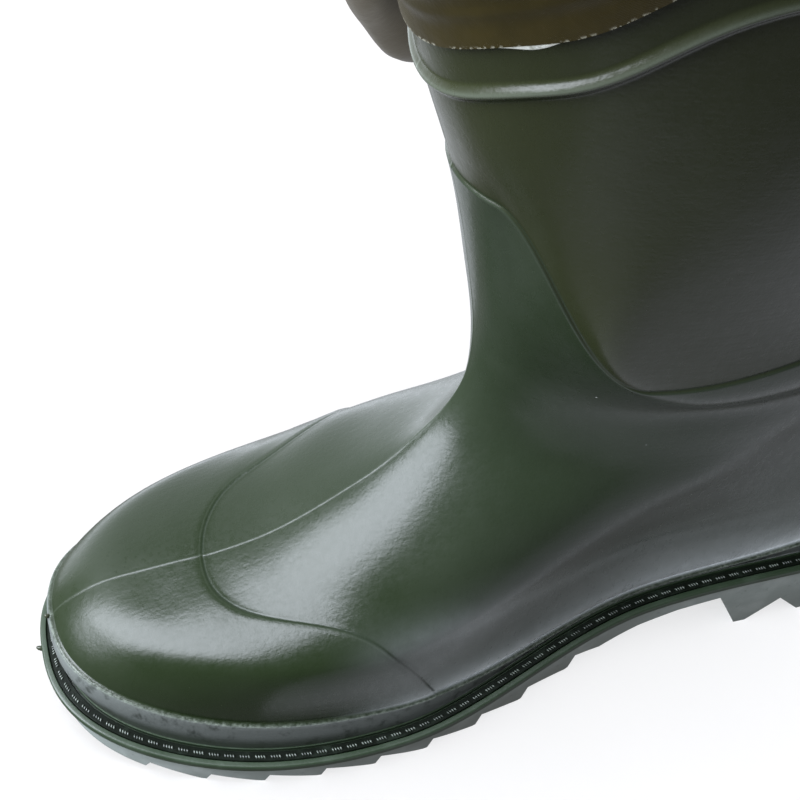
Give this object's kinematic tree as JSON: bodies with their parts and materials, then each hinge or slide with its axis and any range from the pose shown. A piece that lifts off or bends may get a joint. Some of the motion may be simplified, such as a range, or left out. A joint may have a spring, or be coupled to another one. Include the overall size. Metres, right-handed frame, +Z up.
{
  "type": "wader boot",
  "caption": "Left moulded rubber boot of a pair of waders, with toe cap, rand, cleated sole and the slack end of its cloth leg on the shaft.",
  "frame": {"origin": "middle of the boot's box on the floor under the sole", "axes": "+X from heel to toe, +Y to the boot's left (its outer side), +Z up the shaft"},
  "size_m": [0.2976, 0.1498, 0.3723],
  "materials": {
    "outsole": "matt moulded green-grey",
    "welt": "dark green strip",
    "upper": "satin bottle-green moulding",
    "insole": "felt",
    "leg": "coated brown-olive cloth"
  },
  "bodies": {
    "root": {"outsole": "outsole", "welt": "welt", "upper": "upper", "insole": "insole", "leg": "leg"}
  },
  "joints": []
}
